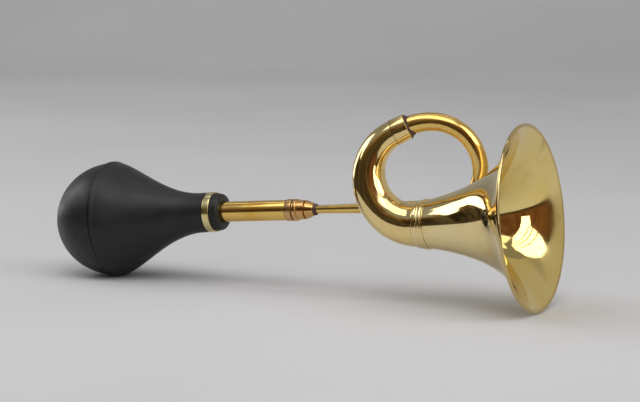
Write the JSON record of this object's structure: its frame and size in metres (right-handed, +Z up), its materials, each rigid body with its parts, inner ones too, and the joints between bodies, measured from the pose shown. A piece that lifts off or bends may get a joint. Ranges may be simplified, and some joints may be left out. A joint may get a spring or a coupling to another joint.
{
  "type": "coiled bulb horn",
  "caption": "Brass bulb horn: squeezing the rubber bulb blows air past a reed into a coiled, widening pipe that ends in a flared bell.",
  "frame": {"origin": "middle of the bounding box's base, where the horn stands on the lip of its bulb and the bottom of its bell rim", "axes": "+X from the bulb towards the bell, +Z up, the bell's side of the coil towards -Y"},
  "size_m": [0.3914, 0.1328, 0.1335],
  "materials": {
    "bulb_rear_rubber": "matt black moulded rubber",
    "bulb_front_rubber": "matt black moulded rubber",
    "band_brass": "polished",
    "stem_brass": "polished",
    "collar_brass": "polished, reddish",
    "washer_leather": "dark oiled leather",
    "housing_brass": "polished, slightly tarnished",
    "reducer_brass": "polished, slightly tarnished",
    "pipe_solder": "darkened soft solder",
    "plug_brass": "turned",
    "shallot_brass": "turned",
    "tongue_bronze": "rolled phosphor bronze strip",
    "clamp_brass": "milled",
    "screw_steel": "plated steel",
    "leadpipe_brass": "polished",
    "ferrule_solder": "darkened soft solder",
    "ferrule_brass": "polished",
    "bow_brass": "polished",
    "stay_brass": "polished",
    "ring_brass": "polished",
    "bell_brass": "polished",
    "wire_steel": "drawn wire"
  },
  "bodies": {
    "horn": {"joint_washer": "washer_leather", "reed_housing": "housing_brass", "housing_reducer": "reducer_brass", "lead_solder": "pipe_solder", "reed_plug": "plug_brass", "reed_shallot": "shallot_brass", "reed_tongue_root": "tongue_bronze", "reed_clamp": "clamp_brass", "reed_screws": "screw_steel", "leadpipe": "leadpipe_brass", "ferrule_solder": "ferrule_solder", "bow_ferrule": "ferrule_brass", "bow": "bow_brass", "coil_stay": "stay_brass", "throat_ring": "ring_brass", "bell": "bell_brass", "rim_wire": "wire_steel"},
    "bulb_mount": {"stem_tube": "stem_brass", "stem_collar": "collar_brass", "neck_band": "band_brass", "bulb_front_shell": "bulb_front_rubber"},
    "bulb_rear": {"bulb_rear_shell": "bulb_rear_rubber"},
    "reed_blade": {"reed_tongue": "tongue_bronze"}
  },
  "joints": [
    {"name": "reed_access_slide", "type": "slide", "parent": "horn", "child": "bulb_mount", "axis": [-0.9969, 0, -0.0785], "range_m": [0, 0.0115]},
    {"name": "bulb_squeeze", "type": "slide", "parent": "bulb_mount", "child": "bulb_rear", "axis": [0.9932, 0, 0.1167], "range_m": [0, 0.022], "stiffness_N_per_m": 500, "deforming": ["bulb_front_shell"]},
    {"name": "tongue_flex", "type": "hinge", "parent": "horn", "child": "reed_blade", "pos_m": [-0.02121, 0.02351, 0.05692], "axis": [0, 1, 0], "range_deg": [-3, 3], "stiffness_Nm_per_rad": 0.002}
  ]
}
